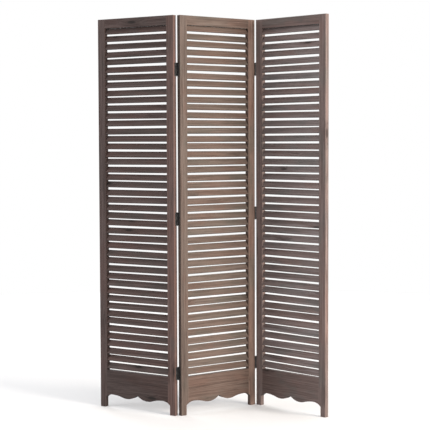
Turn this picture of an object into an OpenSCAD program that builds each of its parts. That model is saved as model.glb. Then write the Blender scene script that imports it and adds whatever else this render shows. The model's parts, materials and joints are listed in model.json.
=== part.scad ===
// Folding room divider: three louvred timber panels joined by two rows of steel butt hinges.
// Origin: on the floor, under the middle of the screen as it stands. +Z up, the front looks along -Y.
// A panel's own frame: X along its width from its left edge, Y from its front face to its back, Z up.

/* [Panels] */
// Width of one panel over its two stiles
panel_w = 400; // [340:5:480]
// Height of the screen
panel_h = 1700; // [1500:10:1900]
// Thickness of stiles and rails
panel_t = 20; // [20:1:26]
// Width of a stile's face
stile_w = 36; // [32:1:44]
// Height of the top rail
top_rail_h = 40; // [34:1:60]
// Height of the bottom rail's upper edge above the floor
bottom_rail_z = 165; // [140:5:200]

/* [Rail tenons] */
// Length of a tenon inside its stile
tenon_l = 20; // [12:1:24]
// Thickness of a tenon
tenon_t = 8; // [6:1:10]
// Shoulder that is left above and below a tenon
tenon_shoulder = 8; // [5:1:10]

/* [Slats] */
// Number of slats in a panel, in five equal groups
slat_count = 45; // [30:5:45]
// Width of a slat board
slat_w = 28.5; // [18:0.5:28.5]
// Thickness of a slat board
slat_t = 5; // [3:0.5:5]
// Lean of a slat from upright: its lower edge is at the front
slat_lean = 32; // [20:1:32]
// Depth that a slat is let into a stile
slat_let_in = 6; // [3:1:10]
// How far a slat may sit above or below its even spacing
slat_wander = 1.2; // [0:0.1:1.2]
// How far out of level a slat may lie
level_wander = 0.25; // [0:0.05:0.3]
// How far a slat's lean may differ from the others
lean_wander = 1; // [0:0.1:1]
// Space between the top rail and the slat below it
top_slat_gap = 0.1; // [0.1:0.1:3]

/* [Scalloped foot] */
// Width of a leg below the scalloped edge
leg_w = 26; // [22:1:28]
// Height of a leg's inner side
leg_h = 42; // [34:1:46]
// Height of the rounded crest beside each leg
crest_z = 58; // [54:1:64]
// Distance from the leg to the crest
crest_run = 38; // [30:1:44]
// Height of the hanging lobe between crest and cusp
lobe_z = 46; // [42:1:48]
// Distance from the leg to the lobe's lowest point
lobe_run = 118; // [110:1:124]
// Height of the pointed cusp at mid-width
cusp_z = 67; // [64:1:72]

/* [Hinges] */
// Height of a hinge
hinge_h = 55; // [50:1:65]
// Width of a leaf on the stile's edge
leaf_w = 12; // [11:0.5:13]
// Thickness of a leaf
leaf_t = 1.2; // [1:0.1:1.2]
// Outside diameter of the knuckles
knuckle_d = 5; // [4.4:0.1:5.4]
// Diameter of the hinge pin
pin_d = 2.4; // [2:0.1:2.8]
// Radial running clearance of the pin in the free leaf
pin_fit = 0.05; // [0.02:0.01:0.1]
// Diameter of a pin's head
pin_head_d = 4.6; // [4:0.1:5.2]
// Length of pin that shows below the lowest knuckle
pin_tail = 3; // [1:0.5:6]
// Distance of the hinge axis from the stile's edge
axis_side = 1.5; // [1.5:0.1:2.4]
// Distance of the hinge axis out from the panel's face
axis_out = 3; // [3:0.1:5]
// Heights of the left fold's hinges, at their middles
left_fold_z = [180, 841, 1473]; // [150:1:1600]
// Heights of the right fold's hinges, at their middles
right_fold_z = [190, 854, 1485]; // [150:1:1600]

/* [Screws] */
// Diameter of a countersunk screw head
screw_head_d = 5; // [4.6:0.1:5]
// Diameter of a screw's shank
screw_d = 2.8; // [2.4:0.1:3]
// Length of a screw below its flat head
screw_l = 14; // [10:1:15]
// Radial clearance of a screw's plain core in its pilot hole
screw_fit = 0.05; // [0.02:0.01:0.1]

/* [Stance] */
// Heading of the left panel seen from above
left_heading = -31; // [-45:1:-5]
// Heading of the middle panel seen from above
middle_heading = 39; // [10:1:45]
// Heading of the right panel seen from above
right_heading = -43; // [-45:1:-5]

/* [Hidden] */
$fn = 48;
PANELS = ["left_panel", "middle_panel", "right_panel"];
SLAT_GROUPS = ["bottom_slats", "lower_slats", "middle_slats", "upper_slats", "top_slats"];
FOLDS = ["left_fold", "right_fold"];
LEVELS = ["lower_hinge", "middle_hinge", "upper_hinge"];
SIDES = ["left", "right"];

FRAME_COLOUR = "#6f6058";
SLAT_COLOUR = "#78675d";
STEEL_COLOUR = "#1f1f21";
SCREW_COLOUR = "#2b2b2d";

// Cuts run past the faces that they open by this much
past = 1;

// Slats: upright room that one slat takes, and the even spacing of all of them
slat_rise = slat_w * cos(slat_lean) + slat_t * sin(slat_lean);
slat_pitch = (panel_h - top_rail_h - bottom_rail_z) / slat_count;
slats_per_group = slat_count / len(SLAT_GROUPS);
// The top slat sits close under its rail, so it has no wander
function wander(i) = i < slat_count - 1 ? 1 : 0;
function slat_z(p, i) =
    panel_h - top_rail_h - top_slat_gap - slat_rise / 2
    - (slat_count - 1 - i) * slat_pitch
    + wander(i) * slat_wander * sin(137.5 * i + 97 * p);
function slat_angle(p, i) = slat_lean + wander(i) * lean_wander * sin(222.5 * i + 61 * p);
function slat_tilt(p, i) = wander(i) * level_wander * sin(77.7 * i + 31 * p);

// Scalloped edge, on one half: a leg arc up to the crest, a crest arc down, and the lobe's arc up to the cusp
crest_x = leg_w + crest_run;
lobe_x = leg_w + lobe_run;
leg_rise = crest_z - leg_h;
leg_arc_r = (crest_run * crest_run + leg_rise * leg_rise) / (2 * leg_rise);
cusp_run = panel_w / 2 - lobe_x;
cusp_rise = cusp_z - lobe_z;
lobe_r = (cusp_run * cusp_run + cusp_rise * cusp_rise) / (2 * cusp_rise);
arcs_run = lobe_x - crest_x;
arcs_rise = lobe_z + lobe_r - crest_z;
crest_r = (arcs_rise * arcs_rise + arcs_run * arcs_run - lobe_r * lobe_r) / (2 * (lobe_r - arcs_rise));
turn_x = crest_x + arcs_run * crest_r / (crest_r + lobe_r);
arc_fn = 180;
// Neighbouring arcs' cuts share this much width, where one lies inside the other
arc_lap = 5;

// Hinges: five knuckles, the outer and middle ones on the leaf that holds the pin
knuckles = 5;
knuckle_gap = 0.3;
knuckle_h = hinge_h / knuckles;
screw_heights = [for (k = [1, 3, 5]) hinge_h * k / 6];
head_depth = (screw_head_d - screw_d) / 2;

// Places of the panels: each fold's axis is fixed in both of the panels that it joins
HEADINGS = [left_heading, middle_heading, right_heading];
function turned(v, a) = [v[0] * cos(a) - v[1] * sin(a), v[0] * sin(a) + v[1] * cos(a)];
left_axis = turned([-axis_side, panel_t + axis_out], middle_heading);
right_axis = turned([panel_w + axis_side, -axis_out], middle_heading);
FEET = [
    left_axis - turned([panel_w + axis_side, panel_t + axis_out], left_heading),
    [0, 0],
    right_axis - turned([-axis_side, -axis_out], right_heading)
];
CORNERS = [
    for (p = [0:2]) for (x = [0, panel_w]) for (y = [0, panel_t])
        FEET[p] + turned([x, y], HEADINGS[p])
];
corner_xs = [for (c = CORNERS) c[0]];
corner_ys = [for (c = CORNERS) c[1]];
CENTRE = [max(corner_xs) + min(corner_xs), max(corner_ys) + min(corner_ys)] / 2;

module at_panel(p) {
    translate([FEET[p][0] - CENTRE[0], FEET[p][1] - CENTRE[1], 0])
        rotate([0, 0, HEADINGS[p]])
            children();
}

// Puts a hinge that is drawn about its axis onto a panel's edge: fold 0 is behind the panels, fold 1 in
// front. Side 0 is the panel left of the fold, side 1 the panel right of it.
module at_fold(f, side, level) {
    middle_z = f == 0 ? left_fold_z[level] : right_fold_z[level];
    at_panel(f + side)
        translate([
            side == 0 ? panel_w + axis_side : -axis_side,
            f == 0 ? panel_t + axis_out : -axis_out,
            middle_z - hinge_h / 2
        ])
            mirror([0, f, 0])
                mirror([side, 0, 0])
                    children();
}

// --- Panel frame ---

module slat_board(p, i) {
    translate([panel_w / 2, panel_t / 2, slat_z(p, i)])
        rotate([-slat_angle(p, i), slat_tilt(p, i), 0])
            cube([panel_w - 2 * (stile_w - slat_let_in), slat_t, slat_w], center = true);
}

module tenons(z, h) {
    for (x = [stile_w - tenon_l, panel_w - stile_w])
        translate([x, (panel_t - tenon_t) / 2, z + tenon_shoulder])
            cube([tenon_l, tenon_t, h - 2 * tenon_shoulder]);
}

// Space below the edge from a leg to where its lobe begins
module leg_arcs() {
    intersection() {
        translate([crest_x, crest_z - leg_arc_r])
            circle(r = leg_arc_r, $fn = arc_fn);
        translate([leg_w, -past])
            square([crest_run + arc_lap, crest_z + 2 * past]);
    }
    intersection() {
        translate([crest_x, crest_z - crest_r])
            circle(r = crest_r, $fn = 4 * arc_fn);
        translate([crest_x, -past])
            square([turn_x - crest_x + arc_lap, crest_z + 2 * past]);
    }
}

module scallop_cut() {
    translate([0, panel_t + past, 0])
        rotate([90, 0, 0])
            linear_extrude(panel_t + 2 * past) {
                for (side = [0, 1])
                    translate([side * panel_w, 0])
                        mirror([side, 0])
                            leg_arcs();
                difference() {
                    translate([turn_x, -past])
                        square([panel_w - 2 * turn_x, cusp_z + past]);
                    for (x = [lobe_x, panel_w - lobe_x])
                        translate([x, lobe_z + lobe_r])
                            circle(r = lobe_r, $fn = arc_fn);
                }
            }
}

// Pilot holes in the edge of a stile, for one fold that this edge meets
module pilot_holes(f, side) {
    for (z = f == 0 ? left_fold_z : right_fold_z)
        for (h = screw_heights)
            translate([
                side == 0 ? panel_w : 0,
                f == 0 ? panel_t - leaf_w / 2 : leaf_w / 2,
                z - hinge_h / 2 + h
            ])
                rotate([0, side == 0 ? -90 : 90, 0])
                    translate([0, 0, -past])
                        cylinder(d = screw_d + 2 * screw_fit, h = screw_l + past);
}

module stile(p, side) {
    color(FRAME_COLOUR)
        at_panel(p)
            difference() {
                translate([side == 0 ? 0 : panel_w - stile_w, 0, 0])
                    cube([stile_w, panel_t, panel_h]);
                for (i = [0:slat_count - 1])
                    slat_board(p, i);
                tenons(panel_h - top_rail_h, top_rail_h);
                tenons(crest_z + tenon_shoulder, bottom_rail_z - crest_z - tenon_shoulder);
                scallop_cut();
                if (side == 1 && p < 2)
                    pilot_holes(p, 0);
                if (side == 0 && p > 0)
                    pilot_holes(p - 1, 1);
            }
}

module top_rail(p) {
    color(FRAME_COLOUR)
        at_panel(p) {
            translate([stile_w, 0, panel_h - top_rail_h])
                cube([panel_w - 2 * stile_w, panel_t, top_rail_h]);
            tenons(panel_h - top_rail_h, top_rail_h);
        }
}

module bottom_rail(p) {
    color(FRAME_COLOUR)
        at_panel(p) {
            difference() {
                translate([stile_w, 0, 0])
                    cube([panel_w - 2 * stile_w, panel_t, bottom_rail_z]);
                scallop_cut();
            }
            tenons(crest_z + tenon_shoulder, bottom_rail_z - crest_z - tenon_shoulder);
        }
}

module slats(p, g) {
    color(SLAT_COLOUR)
        at_panel(p)
            for (i = [g * slats_per_group:(g + 1) * slats_per_group - 1])
                slat_board(p, i);
}

// --- Hinges, drawn about their own axis with the left-hand panel at -X and its covered face at -Y ---

module countersink(extra) {
    rotate([0, 90, 0]) {
        translate([0, 0, -head_depth])
            cylinder(d1 = screw_d, d2 = screw_head_d, h = head_depth);
        cylinder(d = screw_head_d, h = extra);
    }
}

// A leaf with its own knuckles: side 0 holds the pin and has the odd-numbered three, side 1 the other two
module leaf_shape(side) {
    own = side == 0 ? [0, 2, 4] : [1, 3];
    bore_d = side == 0 ? pin_d : pin_d + 2 * pin_fit;
    difference() {
        union() {
            translate([-axis_side, -axis_out - leaf_w, 0])
                cube([leaf_t, leaf_w, hinge_h]);
            for (k = own) {
                low = k * knuckle_h + (k > 0 ? knuckle_gap / 2 : 0);
                high = (k + 1) * knuckle_h - (k < knuckles - 1 ? knuckle_gap / 2 : 0);
                translate([0, 0, low])
                    cylinder(d = knuckle_d, h = high - low);
                translate([-axis_side, -axis_out - past, low])
                    cube([leaf_t, axis_out + past, high - low]);
            }
        }
        translate([0, 0, -past])
            cylinder(d = bore_d, h = hinge_h + 2 * past);
        for (h = screw_heights)
            translate([leaf_t - axis_side, -axis_out - leaf_w / 2, h]) {
                countersink(past);
                rotate([0, -90, 0])
                    cylinder(d = screw_d, h = leaf_t + past);
            }
    }
}

module hinge_leaf(f, level, side) {
    color(STEEL_COLOUR)
        at_fold(f, side, level)
            leaf_shape(side);
}

module hinge_pin(f, level) {
    head_h = 1.4;
    tip_h = 0.8;
    color(STEEL_COLOUR)
        at_fold(f, 0, level)
            rotate_extrude()
                polygon([
                    [0, -pin_tail],
                    [pin_d / 2 - tip_h, -pin_tail],
                    [pin_d / 2, tip_h - pin_tail],
                    [pin_d / 2, hinge_h],
                    [pin_head_d / 2, hinge_h],
                    [pin_head_d / 2, hinge_h + head_h / 2],
                    [pin_head_d / 2 - tip_h, hinge_h + head_h],
                    [0, hinge_h + head_h]
                ]);
}

module screw() {
    slot_w = 0.9;
    slot_l = 3;
    slot_depth = 0.9;
    tip_l = 4;
    difference() {
        rotate([0, 90, 0]) {
            translate([0, 0, -head_depth])
                cylinder(d1 = screw_d, d2 = screw_head_d, h = head_depth);
            translate([0, 0, tip_l - screw_l])
                cylinder(d = screw_d, h = screw_l - tip_l - head_depth);
            translate([0, 0, -screw_l])
                cylinder(d1 = 0.4, d2 = screw_d, h = tip_l);
        }
        for (turn = [0, 90])
            rotate([turn, 0, 0])
                translate([-slot_depth, -slot_l / 2, -slot_w / 2])
                    cube([slot_depth + past, slot_l, slot_w]);
    }
}

module leaf_screws(f, side) {
    color(SCREW_COLOUR)
        for (level = [0:2])
            at_fold(f, side, level)
                for (h = screw_heights)
                    translate([leaf_t - axis_side, -axis_out - leaf_w / 2, h])
                        screw();
}

// --- The screen ---

for (p = [0:2]) {
    for (side = [0, 1])
        stile(p, side);
    top_rail(p);
    bottom_rail(p);
    for (g = [0:len(SLAT_GROUPS) - 1])
        slats(p, g);
}
for (f = [0, 1]) {
    for (level = [0:2]) {
        for (side = [0, 1])
            hinge_leaf(f, level, side);
        hinge_pin(f, level);
    }
    for (side = [0, 1])
        leaf_screws(f, side);
}
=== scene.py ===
"""Looks of the folding room divider: weathered timber panels, black steel hinges, soft studio light.

Metres, in the frame of the CAD model: +Z up, the front of the screen looks along -Y.
"""
import json
import math
from types import SimpleNamespace

import bpy
from mathutils import Euler, Matrix, Vector


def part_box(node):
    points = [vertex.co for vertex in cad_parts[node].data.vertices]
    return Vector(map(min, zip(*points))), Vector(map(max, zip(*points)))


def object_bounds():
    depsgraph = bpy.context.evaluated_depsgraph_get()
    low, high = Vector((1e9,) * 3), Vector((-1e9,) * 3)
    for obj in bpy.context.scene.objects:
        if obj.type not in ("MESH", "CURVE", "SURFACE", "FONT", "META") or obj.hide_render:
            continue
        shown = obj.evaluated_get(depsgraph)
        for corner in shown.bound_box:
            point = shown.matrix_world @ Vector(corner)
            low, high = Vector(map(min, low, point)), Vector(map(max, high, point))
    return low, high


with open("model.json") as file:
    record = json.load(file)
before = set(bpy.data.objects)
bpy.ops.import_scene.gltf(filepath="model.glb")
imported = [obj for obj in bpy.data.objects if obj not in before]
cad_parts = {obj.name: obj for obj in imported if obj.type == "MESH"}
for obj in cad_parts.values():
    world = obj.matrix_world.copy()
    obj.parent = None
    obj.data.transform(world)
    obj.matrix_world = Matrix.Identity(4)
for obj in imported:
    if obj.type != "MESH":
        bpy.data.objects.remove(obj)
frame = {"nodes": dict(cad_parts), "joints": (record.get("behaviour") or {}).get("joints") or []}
cad_low, cad_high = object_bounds()
nodes = frame["nodes"]
PANELS = ("left_panel", "middle_panel", "right_panel")


# Width of the eased edges of frames, slats and hinges
FRAME_EASING, SLAT_EASING, HINGE_EASING = 0.0008, 0.0009, 0.00025
# Points closer than this are one point, and edges that turn by more than this many degrees are eased
SAME_POINT = 1e-6
SHARP_ANGLE = 35


def smoothed(obj, width, segments):
    """Eases the edges of a CAD node with a small rounded bevel."""
    weld = obj.modifiers.new("joined_corners", "WELD")
    weld.merge_threshold = SAME_POINT
    bevel = obj.modifiers.new("eased_edges", "BEVEL")
    bevel.width = width
    bevel.segments = segments
    bevel.limit_method = "ANGLE"
    bevel.angle_limit = math.radians(SHARP_ANGLE)
    bevel.harden_normals = True
    bevel.use_clamp_overlap = True
    # Large faces rule the shading, so that slivers beside the bevels don't show
    even = obj.modifiers.new("even_shading", "WEIGHTED_NORMAL")
    even.weight = 60
    even.keep_sharp = True


def extents(obj, heading):
    """Lowest and highest corner of a CAD node in axes that follow its panel."""
    turn = Matrix.Rotation(-heading, 3, "Z")
    corners = [turn @ v.co for v in obj.data.vertices]
    return [Vector(pick(c[i] for c in corners) for i in range(3)) for pick in (min, max)]


def heading_of(panel):
    """The direction of a panel's width seen from above, from the middles of its two stiles."""
    ends = []
    for side in ("left", "right"):
        low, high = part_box(f"{panel}_{side}_stile")
        ends.append((low + high) / 2)
    run = ends[1] - ends[0]
    return math.atan2(run.y, run.x)


# --- Materials ---

class Nodes:
    """A short way to write a node tree. Most methods add one node and return its output."""

    def __init__(self, name):
        self.material = bpy.data.materials.new(name)
        self.material.use_nodes = True
        self.tree = self.material.node_tree
        self.tree.nodes.clear()

    def add(self, kind, **settings):
        made = self.tree.nodes.new(kind)
        for key, value in settings.items():
            setattr(made, key, value)
        return made

    def put(self, socket, value):
        """Feeds a socket from another node's output, or sets it to a plain value."""
        if isinstance(value, bpy.types.NodeSocket):
            self.tree.links.new(value, socket)
        else:
            socket.default_value = value

    def math(self, operation, a, b=0.0, c=0.0, clamp=False):
        made = self.add("ShaderNodeMath", operation=operation, use_clamp=clamp)
        for socket, value in zip(made.inputs, (a, b, c)):
            self.put(socket, value)
        return made.outputs[0]

    def span(self, value, low, high, to_low=0.0, to_high=1.0, smooth=True):
        """Maps value from low..high to to_low..to_high, held at the ends."""
        made = self.add("ShaderNodeMapRange")
        made.interpolation_type = "SMOOTHSTEP" if smooth else "LINEAR"
        for socket, number in zip(made.inputs, (value, low, high, to_low, to_high)):
            self.put(socket, number)
        return made.outputs[0]

    def stretch(self, vector, scale, offset=(0, 0, 0)):
        made = self.add("ShaderNodeMapping")
        self.put(made.inputs["Vector"], vector)
        made.inputs["Scale"].default_value = scale
        self.put(made.inputs["Location"], offset)
        return made.outputs[0]

    def noise(self, vector, scale=1.0, detail=4.0, roughness=0.55):
        made = self.add("ShaderNodeTexNoise", noise_dimensions="3D")
        self.put(made.inputs["Vector"], vector)
        made.inputs["Scale"].default_value = scale
        made.inputs["Detail"].default_value = detail
        made.inputs["Roughness"].default_value = roughness
        return made.outputs["Fac"]

    def grain(self, vector, along, across, **detail):
        """A noise with so many cells in a metre along the grain and across it."""
        return self.noise(self.stretch(vector, (along, across, across)), **detail)

    def mix(self, factor, a, b, blend="MIX"):
        made = self.add("ShaderNodeMix", data_type="RGBA", blend_type=blend)
        self.put(made.inputs[0], factor)
        self.put(made.inputs[6], a)
        self.put(made.inputs[7], b)
        return made.outputs[2]

    def turned(self, vector, angle):
        """The vector turned about Z."""
        made = self.add("ShaderNodeVectorRotate", rotation_type="Z_AXIS")
        self.put(made.inputs["Vector"], vector)
        made.inputs["Angle"].default_value = angle
        return made.outputs[0]

    def axes(self, vector):
        made = self.add("ShaderNodeSeparateXYZ")
        self.put(made.inputs[0], vector)
        return made.outputs

    def vector(self, x, y, z):
        made = self.add("ShaderNodeCombineXYZ")
        for socket, value in zip(made.inputs, (x, y, z)):
            self.put(socket, value)
        return made.outputs[0]

    def add_vectors(self, a, b):
        made = self.add("ShaderNodeVectorMath", operation="ADD")
        self.put(made.inputs[0], a)
        self.put(made.inputs[1], b)
        return made.outputs[0]

    def bump(self, height, distance, strength):
        made = self.add("ShaderNodeBump")
        made.inputs["Strength"].default_value = strength
        made.inputs["Distance"].default_value = distance
        self.put(made.inputs["Height"], height)
        return made.outputs[0]

    def finish(self, shader):
        """Ends the tree in the shader, and gives the material."""
        made = self.add("ShaderNodeOutputMaterial")
        self.put(made.inputs["Surface"], shader.outputs[0])
        return self.material


# The pattern moves by up to this many metres from board to board
BOARD_SHIFT = 37.0
# A cell holds a knot where its random number is over this
KNOT_FROM = 0.62
# How far, in metres, the grain wanders and how far it swells round a knot
GRAIN_WANDER, KNOT_SWELL = 0.016, 0.007
# An edge is rubbed all through nearer than the first of these, in metres, and not at all past the second
RUBBED_EDGE = (0.0004, 0.0022)
# Relief of the wood's grain and of the steel's skin, in metres
GRAIN_RELIEF, PEEL_RELIEF = 0.0007, 0.00006
# Colours, linear: the stain's, with painted shade in two of them. The casts are the warm and cool patches,
# and GREY_WASH the worn high spots
# Darkens the grain, and is also the painted shade on the stiles' faces towards the slats
DARK_GRAIN_AND_SHADE = (0.023, 0.015, 0.012, 1)
BODY = (0.070, 0.048, 0.038, 1)
GREY_WASH = (0.108, 0.085, 0.073, 1)
WARM_CAST = (0.085, 0.047, 0.035, 1)
COOL_CAST = (0.053, 0.047, 0.038, 1)
KNOT_DARK = (0.012, 0.008, 0.006, 1)
# Painted shade for faces that look downwards
UNDERSIDE_PAINTED_SHADE = (0.010, 0.007, 0.006, 1)
WORN_EDGE = (0.105, 0.079, 0.063, 1)
# How the stain took on each panel, and how much paler or deeper its boards came out, in BOARDS' order. These
# are partly painted light:
# the right panel is made paler to stand in for light that the lamps don't give it, and the middle panel's
# right stile paler where the right panel shades it from the key
PANEL_STAIN_AND_PAINTED_LIGHT = {
    "left_panel": (0.66, 0.59, 0.65),
    "middle_panel": (1.04, 1.01, 1.01),
    "right_panel": (1.64, 1.73, 1.98),
}
BOARDS = ("left_stile", "right_stile", "top_rail", "bottom_rail", "slats")
BOARD_TONE_AND_PAINTED_LIGHT = {
    "left_panel": (1.05, 1.75, 0.97, 0.80, 1.46),
    "middle_panel": (0.86, 1.65, 0.99, 0.99, 1.28),
    "right_panel": (1.30, 1.0, 1.0, 0.90, 1.46),
}
# The slats are a little cooler than the frames
SLAT_CAST = (0.92, 1.0, 1.03)


def stain_and_light_of(panel, part):
    """The colour that a board's own colours are multiplied by: partly its stain, partly painted light."""
    tone = BOARD_TONE_AND_PAINTED_LIGHT[panel][BOARDS.index(part)]
    cast = SLAT_CAST if part == "slats" else (1, 1, 1)
    return tuple(channel * tone * tint for channel, tint in zip(PANEL_STAIN_AND_PAINTED_LIGHT[panel], cast)) + (1,)


def edge_closeness(n, place, low, high):
    """Metres from a point of a box's skin to the box's nearest edge: the middle one of its three depths."""
    depths = []
    for at, bottom, top in zip(place, low, high):
        depths.append(n.math("MINIMUM", n.math("SUBTRACT", at, bottom), n.math("SUBTRACT", top, at)))
    a, b, c = depths
    return n.math("MAXIMUM", n.math("MINIMUM", a, b), n.math("MINIMUM", n.math("MAXIMUM", a, b), c))


def place_of_its_own(n, place, upright, seed, boards):
    """The place along, across and through the board, moved so that no two boards show one pattern.

    Also gives two random numbers for each board: its tone and its warmth.
    """
    x, y, z = place
    along, across = (z, x) if upright else (x, z)
    count = 0.0
    if boards:
        count = n.math("FLOOR", n.math("DIVIDE", n.math("SUBTRACT", z, boards[0]), boards[1]))
    board = n.add("ShaderNodeTexWhiteNoise", noise_dimensions="3D")
    n.put(board.inputs["Vector"], n.vector(count, float(seed), 0.5))
    tone = board.outputs["Value"]
    warmth = n.axes(board.outputs["Color"])[1]
    shift = n.math("MULTIPLY", tone, BOARD_SHIFT)
    own = n.vector(n.math("ADD", along, shift), n.math("ADD", across, shift), n.math("ADD", y, float(seed)))
    return own, tone, warmth


def knots(n, own):
    """The wood near a knot, and its core. Some cells of a sparse grid, long with the grain, hold a knot."""
    cells = n.add("ShaderNodeTexVoronoi", feature="F1", voronoi_dimensions="3D")
    n.put(cells.inputs["Vector"], n.stretch(own, (4.6, 16.0, 16.0)))
    cells.inputs["Scale"].default_value = 1.0
    is_knot = n.math("GREATER_THAN", n.axes(cells.outputs["Color"])[0], KNOT_FROM)
    away = cells.outputs["Distance"]
    near = n.math("MULTIPLY", n.span(away, 0.04, 0.40, 1.0, 0.0), is_knot)
    core = n.math("MULTIPLY", n.span(away, 0.06, 0.13, 1.0, 0.0), is_knot)
    return near, core


def figure_of(n, own):
    """The wood's figure, in parts from 0 to 1: knots, bands, streaks, fibres, cracks, rings and patches."""
    near, core = knots(n, own)

    # The grain swells round the knots and wanders a little
    wander = n.grain(own, 2.2, 9.0, detail=2.0)
    drift = n.math("SUBTRACT", wander, 0.5)
    sway = n.math("MULTIPLY_ADD", drift, GRAIN_WANDER, n.math("MULTIPLY", near, KNOT_SWELL))
    flow = n.add_vectors(own, n.vector(0.0, sway, sway))

    bands = n.grain(flow, 2.0, 26.0, detail=3.0)
    streaks = n.grain(flow, 3.0, 210.0, detail=5.0, roughness=0.66)
    fibres = n.grain(flow, 18.0, 1100.0, detail=3.0, roughness=0.62)
    cracks = n.span(n.grain(flow, 9.0, 620.0, detail=1.0), 0.66, 0.73)
    patches = n.grain(own, 5.0, 14.0, detail=3.0)

    # Growth rings seen as lines: a wave across the board, bent by the bands and by the knots
    ring_at = n.math("MULTIPLY_ADD", bands, 30.0, n.math("MULTIPLY", n.axes(flow)[1], 1500.0))
    ring_at = n.math("MULTIPLY_ADD", near, 9.0, ring_at)
    rings = n.math("POWER", n.math("MULTIPLY_ADD", n.math("SINE", ring_at), 0.5, 0.5), 5.0)
    return SimpleNamespace(
        near=near, core=core, bands=bands, streaks=streaks, fibres=fibres, cracks=cracks, rings=rings,
        patches=patches,
    )


def darkness(n, figure):
    """How deep the stain sits in the grain, from 0 to 1."""
    dark = n.math("MULTIPLY", n.span(figure.streaks, 0.44, 0.64), 0.56)
    dark = n.math("MULTIPLY_ADD", figure.rings, n.span(figure.bands, 0.35, 0.65, 0.10, 0.50), dark)
    dark = n.math("MULTIPLY_ADD", n.span(figure.fibres, 0.44, 0.64), 0.32, dark)
    dark = n.math("MULTIPLY_ADD", figure.near, 0.42, dark)
    return n.math("MULTIPLY_ADD", figure.cracks, 0.70, dark, clamp=True)


def grain_colour(n, figure, dark, tone, warmth):
    """Stained wood: the board's own tone, warm and cool patches, pale high spots, dark grain and knots."""
    in_bands = n.span(figure.bands, 0.38, 0.62, 0.25, 1.0)
    pale = n.math("MULTIPLY", n.span(figure.streaks, 0.50, 0.30), in_bands)
    colour = n.mix(n.math("MULTIPLY", tone, 0.50), BODY, GREY_WASH)
    colour = n.mix(n.math("MULTIPLY", warmth, 0.45), colour, WARM_CAST)
    colour = n.mix(n.math("MULTIPLY", n.span(figure.patches, 0.52, 0.66), 0.60), colour, WARM_CAST)
    colour = n.mix(n.math("MULTIPLY", n.span(figure.patches, 0.48, 0.34), 0.55), colour, COOL_CAST)
    colour = n.mix(n.math("MULTIPLY", pale, 0.70), colour, GREY_WASH)
    colour = n.mix(n.math("MULTIPLY", dark, 0.74), colour, DARK_GRAIN_AND_SHADE)
    return n.mix(n.math("MULTIPLY", figure.core, 0.85), colour, KNOT_DARK)


def grain_height(n, figure):
    """Relief of the grain: streaks, fibres, rings, cracks and knots are a little sunken."""
    height = n.math("MULTIPLY_ADD", figure.streaks, -0.55, n.math("MULTIPLY", figure.fibres, -0.35))
    height = n.math("MULTIPLY_ADD", figure.rings, -0.15, height)
    height = n.math("MULTIPLY_ADD", figure.cracks, -0.6, height)
    return n.math("MULTIPLY_ADD", figure.core, -0.4, height)


def wood(name, heading, upright, seed, stain, box=None, boards=None, inward=0):
    """Weathered, stained softwood. The grain runs up the piece, or else along the panel's width.

    box, its lowest and highest corner, gives a single piece rubbed edges. boards, the height where the
    lowest board's room starts and the room that each one has, gives every board a tone and grain of its own.
    inward, 1 or -1 along the panel's width, is the side of a stile that the slats meet. There the stile's
    faces get painted shade, standing in for the shade in the recess between stile and slats.
    """
    n = Nodes(name)
    here = n.add("ShaderNodeTexCoord")
    place = n.axes(n.turned(here.outputs["Object"], -heading))
    own, tone, warmth = place_of_its_own(n, place, upright, seed, boards)
    figure = figure_of(n, own)
    dark = darkness(n, figure)
    colour = grain_colour(n, figure, dark, tone, warmth)
    if box:
        edge = n.span(edge_closeness(n, place, *box), *RUBBED_EDGE, 1.0, 0.0)
        rubbed = n.math("MULTIPLY", edge, n.span(figure.patches, 0.40, 0.62, 0.0, 0.6))
        colour = n.mix(rubbed, colour, WORN_EDGE)

    # Painted shade: faces that look downwards are darkened nearly to black, standing in for the shade under
    # the slats and rails
    facing_up = n.axes(n.add("ShaderNodeNewGeometry").outputs["Normal"])[2]
    colour = n.mix(n.math("MULTIPLY", n.span(facing_up, -0.60, -0.80), 0.92), colour, UNDERSIDE_PAINTED_SHADE)
    # Painted shade: a stile's faces that look towards the slats are darkened, for the shade in the recess
    # between them
    if inward:
        sideways = n.axes(n.turned(here.outputs["Normal"], -heading))[0]
        recess_shade_mask = n.span(n.math("MULTIPLY", sideways, float(inward)), 0.60, 0.90)
        colour = n.mix(n.math("MULTIPLY", recess_shade_mask, 0.35), colour, DARK_GRAIN_AND_SHADE)
    # The board's multiplier: partly its stain, partly painted light
    colour = n.mix(1.0, colour, stain, blend="MULTIPLY")

    shader = n.add("ShaderNodeBsdfPrincipled")
    n.put(shader.inputs["Base Color"], colour)
    n.put(shader.inputs["Roughness"], n.span(dark, 0.0, 1.0, 0.60, 0.82, smooth=False))
    shader.inputs["Specular IOR Level"].default_value = 0.22
    n.put(shader.inputs["Normal"], n.bump(grain_height(n, figure), GRAIN_RELIEF, 0.8))
    return n.finish(shader)


# Colours of the hinges, the screws, and the dust on both: the steel's black, and where it is rubbed
ENAMEL, RUBBED_ENAMEL = (0.012, 0.012, 0.013, 1), (0.20, 0.19, 0.18, 1)
SCREW, RUBBED_SCREW = (0.020, 0.020, 0.021, 1), (0.28, 0.27, 0.26, 1)
DUST = (0.050, 0.047, 0.044, 1)


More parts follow.
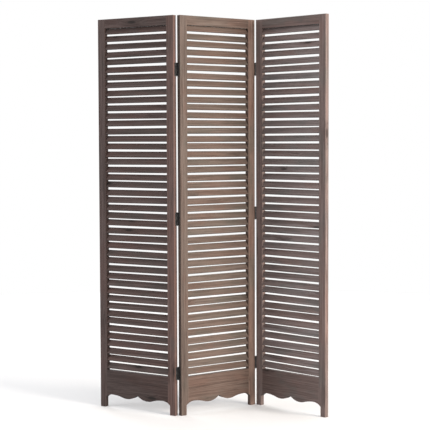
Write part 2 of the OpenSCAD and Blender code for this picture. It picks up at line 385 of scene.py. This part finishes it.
def black_steel(name, seed, base, rubbed):
    """Stove-enamelled steel: a fine orange peel, smears of dust and small rubbed chips."""
    n = Nodes(name)
    place = n.add("ShaderNodeTexCoord").outputs["Object"]
    place = n.stretch(place, (1, 1, 1), (seed, seed, seed))
    peel = n.noise(place, scale=900.0, detail=2.0)
    smears = n.noise(place, scale=70.0, detail=5.0, roughness=0.6)
    chips = n.noise(place, scale=520.0, detail=3.0)
    worn = n.math("MULTIPLY", n.span(chips, 0.66, 0.72), n.span(smears, 0.48, 0.62))
    colour = n.mix(n.span(smears, 0.45, 0.70, 0.0, 0.6), base, DUST)
    colour = n.mix(worn, colour, rubbed)
    shader = n.add("ShaderNodeBsdfPrincipled")
    n.put(shader.inputs["Base Color"], colour)
    n.put(shader.inputs["Metallic"], n.math("MULTIPLY", worn, 0.8))
    n.put(shader.inputs["Roughness"], n.span(smears, 0.35, 0.70, 0.34, 0.56))
    n.put(shader.inputs["Normal"], n.bump(peel, PEEL_RELIEF, 0.5))
    return n.finish(shader)


def wear(obj, material):
    obj.data.materials.clear()
    obj.data.materials.append(material)


# --- The panels ---

SLAT_GROUPS = ("bottom_slats", "lower_slats", "middle_slats", "upper_slats", "top_slats")
SLATS = 45
# Upright room that one leaning slat fills
SLAT_RISE = 0.0268
# Seeds: each panel's boards have a range of their own, and the slats another
PANEL_SEEDS, SLAT_SEED = 7, 40

for number, panel in enumerate(PANELS):
    heading = heading_of(panel)
    for order, part in enumerate(BOARDS[:-1]):
        piece = nodes[f"{panel}_{part}"]
        upright = part.endswith("stile")
        inward = {"left_stile": 1, "right_stile": -1}.get(part, 0)
        seed = PANEL_SEEDS * number + order
        wear(piece, wood(
            f"wood_{panel}_{part}", heading, upright, seed, stain_and_light_of(panel, part),
            box=extents(piece, heading), inward=inward,
        ))
        smoothed(piece, FRAME_EASING, 3)
    opening_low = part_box(f"{panel}_bottom_rail")[1].z
    opening_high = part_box(f"{panel}_top_rail")[0].z
    pitch = (opening_high - opening_low) / SLATS
    boards = (opening_low + (pitch - SLAT_RISE) / 2, pitch)
    slat_stain_and_light = stain_and_light_of(panel, "slats")
    slat_wood = wood(f"wood_{panel}_slats", heading, False, SLAT_SEED + number, slat_stain_and_light, boards=boards)
    for group in SLAT_GROUPS:
        piece = nodes[f"{panel}_{group}"]
        wear(piece, slat_wood)
        smoothed(piece, SLAT_EASING, 3)

# --- Hinges and screws ---

enamel = black_steel("hinge_enamel", 1.7, ENAMEL, RUBBED_ENAMEL)
screw_black = black_steel("screw_black", 4.1, SCREW, RUBBED_SCREW)
for name, piece in nodes.items():
    if name.endswith("_leaf") or name.endswith("_pin"):
        wear(piece, enamel)
        smoothed(piece, HINGE_EASING, 2)
    elif name.endswith("_screws"):
        wear(piece, screw_black)

# --- Floor, light and camera ---

FLOOR_RADIUS = 4.5
FLOOR_SIDES = 96
FLOOR_COLOURS = (0.68, 0.68, 0.69, 1), (0.71, 0.71, 0.72, 1)


def floor():
    """A pale, faintly mottled disc."""
    turns = [2 * math.pi * i / FLOOR_SIDES for i in range(FLOOR_SIDES)]
    rim = [(FLOOR_RADIUS * math.cos(turn), FLOOR_RADIUS * math.sin(turn), 0.0) for turn in turns]
    mesh = bpy.data.meshes.new("studio_floor")
    mesh.from_pydata(rim, [], [tuple(range(FLOOR_SIDES))])
    obj = bpy.data.objects.new("studio_floor", mesh)
    bpy.context.scene.collection.objects.link(obj)
    n = Nodes("pale_floor")
    place = n.add("ShaderNodeTexCoord").outputs["Object"]
    mottle = n.noise(place, scale=3.0, detail=2.0)
    shader = n.add("ShaderNodeBsdfPrincipled")
    n.put(shader.inputs["Base Color"], n.mix(mottle, *FLOOR_COLOURS))
    shader.inputs["Roughness"].default_value = 0.9
    shader.inputs["Specular IOR Level"].default_value = 0.1
    obj.data.materials.append(n.finish(shader))


# Softboxes: heading in degrees, 0 in front and 90 to the right, height, distance, side, watts and colour
SOFTBOXES = {
    "key": (58.0, 1.75, 7.0, 3.4, 1260.0, (1.0, 0.92, 0.82)),
    "side_fill": (-75.0, 1.9, 7.0, 3.0, 240.0, (1.0, 1.0, 1.0)),
    "back_fill": (-150.0, 2.2, 9.0, 3.0, 420.0, (1.0, 1.0, 1.0)),
}


def softbox(name, aim, heading, height, distance, size, power, colour):
    """A square area light that stands round the aim point and looks at it."""
    turn = math.radians(heading)
    data = bpy.data.lights.new(name, "AREA")
    data.shape = "SQUARE"
    data.size = size
    data.energy = power
    data.color = colour
    obj = bpy.data.objects.new(name, data)
    bpy.context.scene.collection.objects.link(obj)
    obj.location = (
        aim.x + distance * math.sin(turn),
        aim.y - distance * math.cos(turn),
        height,
    )
    obj.rotation_euler = (aim - obj.location).to_track_quat("-Z", "Y").to_euler()


def ambient(strength):
    world = bpy.data.worlds.new("studio")
    world.use_nodes = True
    background = world.node_tree.nodes["Background"]
    background.inputs["Color"].default_value = (1, 1, 1, 1)
    background.inputs["Strength"].default_value = strength
    bpy.context.scene.world = world


# The camera stands 5.5 m in front of the left fold, a little right of it, and looks down and to the left
EYE_FROM_LEFT_FOLD = Vector((0.3744, -5.4984, 1.1713))
# Degrees
LOOK_DOWN, LOOK_LEFT, LEAN = 3.250, 1.894, 0.170
# Focal length as a multiple of the image's width
FOCAL_IN_WIDTHS = 3.0232558
SHIFT = (-0.018, -0.0005)


def camera():
    fold = next(j for j in frame["joints"] if j["name"] == "left_fold_hinge")
    data = bpy.data.cameras.new("camera")
    data.sensor_width = 36.0
    data.lens = data.sensor_width * FOCAL_IN_WIDTHS
    data.shift_x, data.shift_y = SHIFT
    obj = bpy.data.objects.new("camera", data)
    bpy.context.scene.collection.objects.link(obj)
    obj.location = Vector((fold["pos_m"][0], fold["pos_m"][1], 0.0)) + EYE_FROM_LEFT_FOLD
    down, left = math.radians(LOOK_DOWN), math.radians(LOOK_LEFT)
    ahead = Vector((-math.sin(left) * math.cos(down), math.cos(left) * math.cos(down), -math.sin(down)))
    look = ahead.to_track_quat("-Z", "Y")
    lean = Euler((0.0, 0.0, -math.radians(LEAN))).to_quaternion()
    obj.rotation_mode = "QUATERNION"
    obj.rotation_quaternion = look @ lean
    bpy.context.scene.camera = obj


floor()
middle = (cad_low + cad_high) / 2
for name, settings in SOFTBOXES.items():
    softbox(name, middle, *settings)
ambient(1.0)
bpy.context.scene.view_settings.view_transform = "Standard"
camera()
